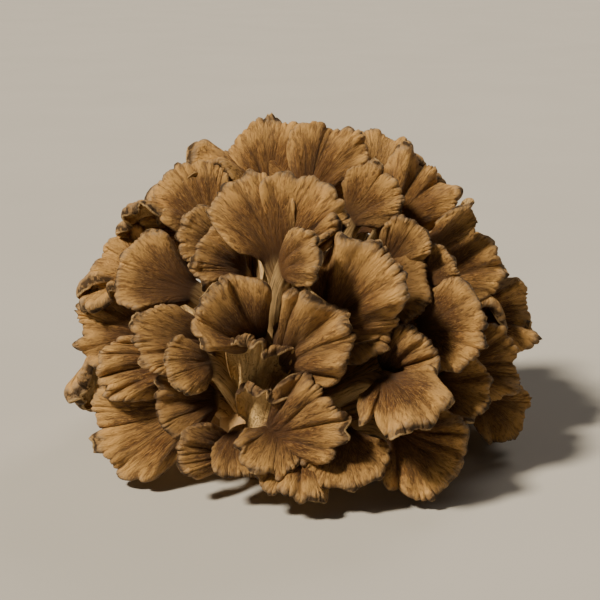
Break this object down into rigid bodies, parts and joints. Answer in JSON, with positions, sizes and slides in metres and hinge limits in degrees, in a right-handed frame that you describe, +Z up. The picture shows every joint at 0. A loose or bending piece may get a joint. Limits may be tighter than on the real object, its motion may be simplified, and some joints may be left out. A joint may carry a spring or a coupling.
{
  "type": "maitake mushroom",
  "caption": "Whole maitake mushroom: a dome-shaped rosette of thin, wavy, fan-shaped fronds on pale stalks, all growing from one butt that is cut flat to stand on.",
  "frame": {"origin": "middle of the footprint, on the surface that the mushroom stands on", "axes": "+Z up, -Y the front, where the rosette opens and the stalks show; +X to the right seen from the front"},
  "size_m": [0.2167, 0.2077, 0.1496],
  "materials": {
    "frond_skin": "dry, softly velvety brown with fine radial fibrils; cream stalk and underside",
    "butt_flesh": "matt cream flesh, tan where it has dried"
  },
  "bodies": {
    "root": {"butt": "butt_flesh", "crown_left": "frond_skin", "crown_mid": "frond_skin", "crown_fold": "frond_skin", "crown_lip": "frond_skin", "top_right": "frond_skin", "top_far_right": "frond_skin", "top_right_tip": "frond_skin", "right_hero": "frond_skin", "right_hero_low": "frond_skin", "right_hero_back": "frond_skin", "right_fold": "frond_skin", "right_upper": "frond_skin", "right_small": "frond_skin", "right_mid": "frond_skin", "right_outer": "frond_skin", "right_side": "frond_skin", "right_under": "frond_skin", "right_low": "frond_skin", "hook": "frond_skin", "split": "frond_skin", "skirt_right": "frond_skin", "skirt_mid": "frond_skin", "skirt_front": "frond_skin", "front_hero": "frond_skin", "mid_hero": "frond_skin", "mid_left": "frond_skin", "left_hero": "frond_skin", "left_curl_top": "frond_skin", "left_curl": "frond_skin", "left_fold": "frond_skin", "left_spoon": "frond_skin", "left_back": "frond_skin", "left_mid": "frond_skin", "left_skirt": "frond_skin", "left_inner": "frond_skin", "left_low": "frond_skin", "butt_lip": "frond_skin", "trumpet_low": "frond_skin", "trumpet": "frond_skin", "left_upper": "frond_skin", "top_left": "frond_skin", "left_shelf": "frond_skin", "top_left_back": "frond_skin", "top_back": "frond_skin", "top_mid": "frond_skin", "top_right_back": "frond_skin", "back_skirt_1": "frond_skin", "back_skirt_2": "frond_skin", "back_skirt_3": "frond_skin", "back_skirt_4": "frond_skin", "back_skirt_5": "frond_skin", "back_middle_1": "frond_skin", "back_middle_2": "frond_skin", "back_middle_3": "frond_skin", "back_middle_4": "frond_skin", "back_middle_5": "frond_skin", "back_upper_1": "frond_skin", "back_upper_2": "frond_skin", "back_upper_3": "frond_skin"}
  },
  "joints": []
}
